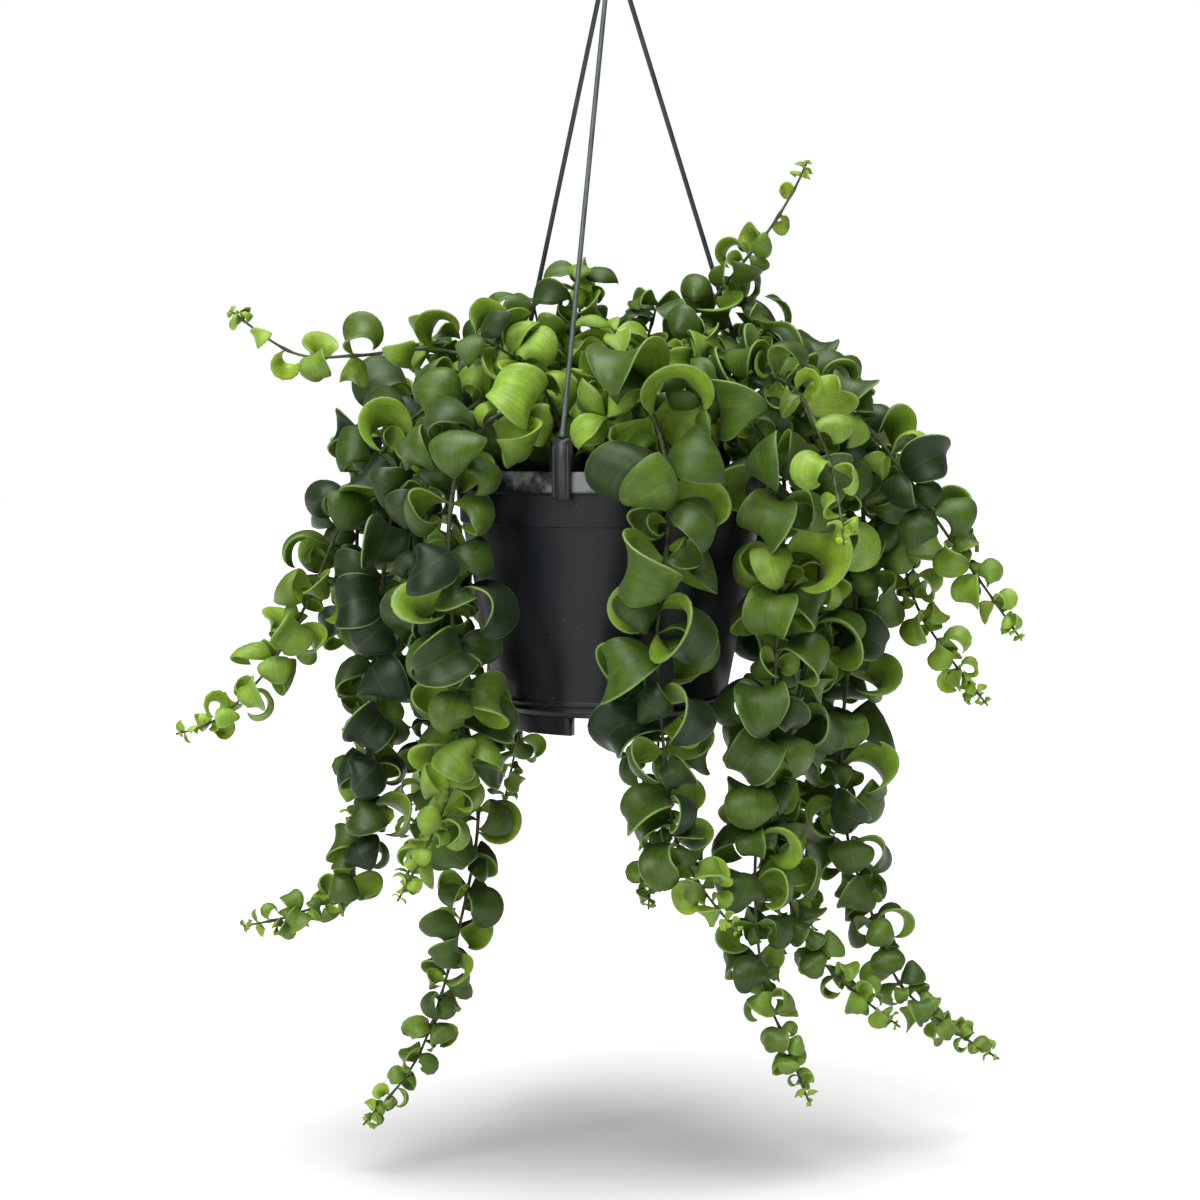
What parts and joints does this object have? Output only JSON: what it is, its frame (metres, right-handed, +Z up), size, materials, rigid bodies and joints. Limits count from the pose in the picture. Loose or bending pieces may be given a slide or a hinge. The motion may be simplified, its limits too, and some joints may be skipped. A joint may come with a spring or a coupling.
{
  "type": "potted trailing lipstick plant",
  "caption": "Trailing plant with thick curled leaves on hanging stems, in a black nursery pot that hangs from a moulded hook by three strands and clips.",
  "frame": {"origin": "the point under the hook's crown that bears on the rail, on the pot's axis", "axes": "+Z up along the pot's axis, -Y to the front, where the picture looks from, +X to the viewer's right"},
  "size_m": [0.396, 0.2512, 0.5905],
  "materials": {
    "pot": "satin black moulded plastic, lightly scuffed",
    "hanger": "satin grey-green moulded plastic",
    "soil": "rough damp potting mix",
    "foliage": "waxy satin leaves, dark above, paler below, lime at the tips"
  },
  "bodies": {
    "root": {"pot": "pot", "soil": "soil", "hanger_hook": "hanger", "hanger_strand_1": "hanger", "hanger_clip_1": "hanger", "hanger_strand_2": "hanger", "hanger_clip_2": "hanger", "hanger_strand_3": "hanger", "hanger_clip_3": "hanger", "crown_peak": "foliage", "crown_peak_left": "foliage", "crown_front": "foliage", "crown_front_left": "foliage", "crown_left": "foliage", "crown_back_left": "foliage", "crown_middle": "foliage", "crown_front_right": "foliage", "crown_right": "foliage", "crown_far_right": "foliage", "crown_back": "foliage", "crown_back_right": "foliage", "crown_rear": "foliage", "crown_rim_left": "foliage", "crown_rim_right": "foliage", "vine_front": "foliage", "vine_front_left": "foliage", "vine_front_right": "foliage", "vine_dark_left": "foliage", "vine_outer_left": "foliage", "vine_long_left": "foliage", "vine_right": "foliage", "vine_long_right": "foliage", "vine_back_right": "foliage", "vine_spread_right": "foliage", "vine_outer_right": "foliage", "shoot_upper_right": "foliage", "shoot_upper_left": "foliage", "shoot_front_right": "foliage", "vine_rear_right": "foliage", "vine_rear_middle": "foliage", "vine_rear_left": "foliage", "vine_far_left": "foliage", "vine_left_side": "foliage"}
  },
  "joints": []
}
